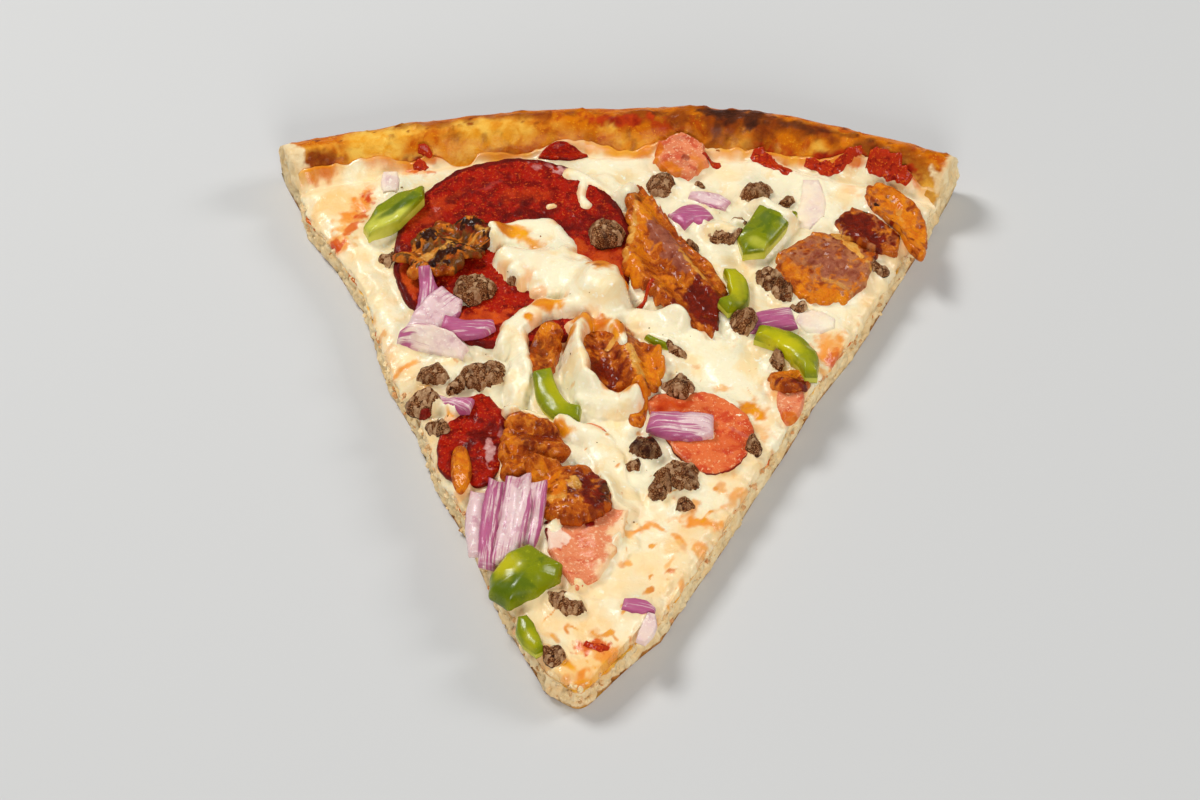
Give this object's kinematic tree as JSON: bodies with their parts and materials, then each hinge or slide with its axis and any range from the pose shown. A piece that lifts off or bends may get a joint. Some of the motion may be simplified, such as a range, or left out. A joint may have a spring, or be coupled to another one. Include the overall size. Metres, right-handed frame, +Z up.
{
  "type": "pizza slice",
  "caption": "Triangular slice of thin-crust pizza with a raised browned crust, melted cheese and dense toppings of cured meat, minced beef, onion and green pepper.",
  "frame": {"origin": "centre of the bounding box of the slice, on the plane that the dough rests on", "axes": "+Y from the tip towards the crust, +Z up through the toppings, +X to the right seen from the tip"},
  "size_m": [0.1497, 0.1617, 0.0187],
  "materials": {
    "dough": "baked, matt",
    "sauce": "moist",
    "cheese": "melted, oily sheen",
    "salami": "oily sheen",
    "salami_pale": "oily sheen",
    "bacon": "crisp, oily sheen",
    "bacon_fat": "crisp, oily sheen",
    "ham": "moist",
    "pepper": "waxy skin",
    "onion": "moist, translucent",
    "beef": "rough, fried"
  },
  "bodies": {
    "root": {"dough": "dough", "sauce": "sauce", "cheese": "cheese", "salami_large": "salami", "salami_left": "salami", "salami_right": "salami_pale", "salami_at_rim": "salami", "ham_near_tip": "ham", "ham_on_crust": "ham", "ham_at_edge": "ham", "bacon_far_left": "bacon", "bacon_back": "bacon", "bacon_right": "bacon_fat", "bacon_right_dark": "bacon", "bacon_far_right": "bacon_fat", "bacon_mid_left": "bacon", "bacon_mid": "bacon", "bacon_near_left": "bacon_fat", "bacon_near": "bacon", "bacon_bit_back": "bacon_fat", "bacon_bit_right": "bacon_fat", "onion_left_back": "onion", "onion_left_broad": "onion", "onion_left_purple": "onion", "onion_left_front": "onion", "onion_back_purple": "onion", "onion_back_pale": "onion", "onion_right": "onion", "onion_right_pale": "onion", "onion_middle": "onion", "onion_ring_left": "onion", "onion_near_white": "onion", "onion_near_striped": "onion", "onion_near_broad": "onion", "onion_near_pink": "onion", "onion_far_right": "onion", "pepper_far_left": "pepper", "pepper_back": "pepper", "pepper_near": "pepper", "pepper_behind_bacon": "pepper", "pepper_right": "pepper", "pepper_middle": "pepper", "pepper_at_tip": "pepper", "beef_by_onion": "beef", "beef_ball": "beef", "beef_back": "beef", "beef_far": "beef", "beef_veil": "beef", "beef_behind_bacon": "beef", "beef_middle": "beef", "beef_left_large": "beef", "beef_left_round": "beef", "beef_left_edge": "beef", "beef_dark": "beef", "beef_near_right": "beef", "beef_near": "beef", "beef_right": "beef"}
  },
  "joints": []
}
